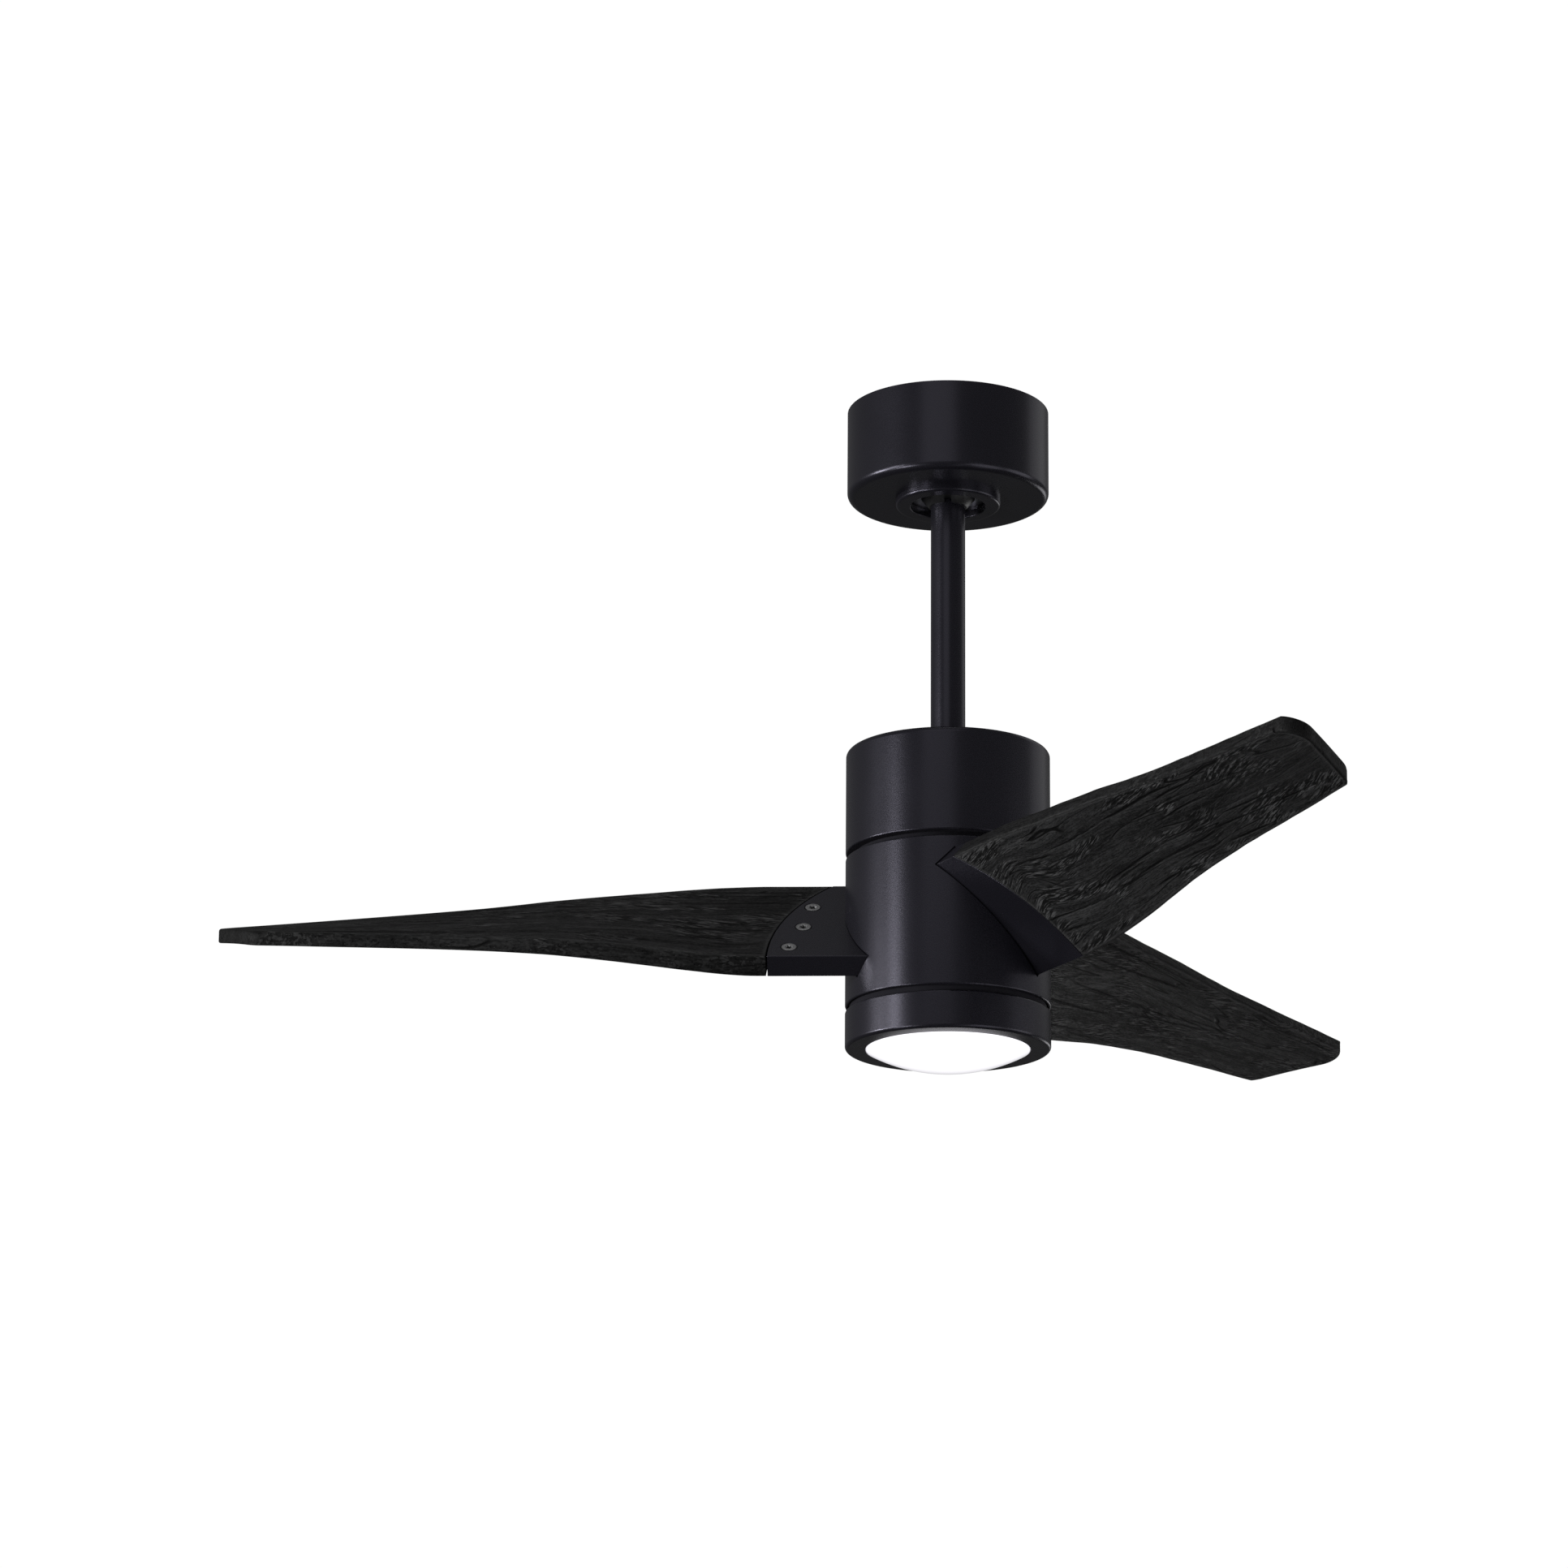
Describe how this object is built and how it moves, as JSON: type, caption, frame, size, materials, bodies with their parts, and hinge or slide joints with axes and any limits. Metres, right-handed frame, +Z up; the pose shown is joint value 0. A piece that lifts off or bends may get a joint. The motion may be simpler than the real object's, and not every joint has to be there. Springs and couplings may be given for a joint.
{
  "type": "ceiling fan with light",
  "caption": "Ceiling fan with twisted wooden blades on a slim drum motor, a short rod and canopy above, and a domed opal light below.",
  "frame": {"origin": "centre of the ceiling face, where the hanger bracket meets the ceiling", "axes": "+Z up into the ceiling, the motor's axis along Z; one blade points along -X and the ceiling screws lie along X"},
  "size_m": [0.8457, 0.9322, 0.4992],
  "materials": {
    "black_metal": "satin powder coat",
    "black_wood": "matte, hand-scraped grain",
    "opal_lens": "frosted opal, lit from behind",
    "screw_steel": "dark zinc",
    "zinc_steel": "bright zinc",
    "ball_plastic": "moulded nylon",
    "aluminium": "as cast",
    "lamination_steel": "varnished stack",
    "copper_wire": "enamelled wire",
    "magnet": "ferrite",
    "bearing_steel": "ground",
    "circuit_board": "solder mask",
    "components": "moulded",
    "white_board": "white solder mask",
    "lamp": "phosphor",
    "gasket": "silicone",
    "lead_insulation": "insulated wire"
  },
  "bodies": {
    "ceiling_mount": {"hanger_bracket": "zinc_steel", "canopy": "black_metal", "canopy_trim_ring": "black_metal", "canopy_screws": "zinc_steel", "receiver_module": "ball_plastic"},
    "hanging_motor": {"hanger_ball": "ball_plastic", "ball_cross_pin": "zinc_steel", "ball_set_screw": "zinc_steel", "downrod": "black_metal", "rod_coupler": "zinc_steel", "coupler_pin": "zinc_steel", "coupler_clip": "zinc_steel", "coupler_set_screws": "zinc_steel", "housing_bracket": "zinc_steel", "bracket_screws": "zinc_steel", "upper_housing": "black_metal", "housing_screws": "screw_steel", "board_spacers": "zinc_steel", "controller_board": "circuit_board", "controller_components": "components", "motor_shaft": "zinc_steel", "shaft_circlips": "zinc_steel", "stator_core": "lamination_steel", "stator_windings": "copper_wire", "upper_bearing_inner_race": "bearing_steel", "lower_bearing_inner_race": "bearing_steel", "light_mounting_plate": "zinc_steel", "shaft_nut": "zinc_steel", "light_ring": "black_metal", "light_ring_screws": "zinc_steel", "heat_sink": "aluminium", "led_board": "white_board", "led_chips": "lamp", "lens_gasket": "gasket", "lens": "opal_lens", "lens_retainer_ring": "zinc_steel", "lens_screws": "zinc_steel", "supply_leads": "lead_insulation"},
    "rotor": {"rotor_top_plate": "aluminium", "rotor_bottom_plate": "aluminium", "rotor_ring": "zinc_steel", "rotor_magnets": "magnet", "motor_case_screws": "zinc_steel", "upper_bearing_outer_race": "bearing_steel", "lower_bearing_outer_race": "bearing_steel", "rotor_shell": "black_metal", "shell_screws": "zinc_steel", "blade_arm_1": "black_metal", "blade_arm_2": "black_metal", "blade_arm_3": "black_metal", "arm_screws": "zinc_steel", "blade_1": "black_wood", "blade_2": "black_wood", "blade_3": "black_wood", "blade_screws": "screw_steel"},
    "upper_balls": {"upper_bearing_balls": "bearing_steel", "upper_bearing_cage": "components"},
    "lower_balls": {"lower_bearing_balls": "bearing_steel", "lower_bearing_cage": "components"}
  },
  "joints": [
    {"name": "ball_swing", "type": "hinge", "parent": "ceiling_mount", "child": "hanging_motor", "pos_m": [0, 0, -0.055], "axis": [1, 0, 0], "range_deg": [-20, 20]},
    {"name": "rotor_spin", "type": "hinge", "parent": "hanging_motor", "child": "rotor", "pos_m": [0, 0, -0.397], "axis": [0, 0, 1], "continuous": true},
    {"name": "upper_balls_roll", "type": "hinge", "parent": "hanging_motor", "child": "upper_balls", "pos_m": [0, 0, -0.3575], "axis": [0, 0, 1], "continuous": true},
    {"name": "lower_balls_roll", "type": "hinge", "parent": "hanging_motor", "child": "lower_balls", "pos_m": [0, 0, -0.436], "axis": [0, 0, 1], "continuous": true}
  ],
  "couplings": [
    {"joint": "upper_balls_roll", "follows": "rotor_spin", "ratio": 0.6024},
    {"joint": "lower_balls_roll", "follows": "rotor_spin", "ratio": 0.6024}
  ]
}
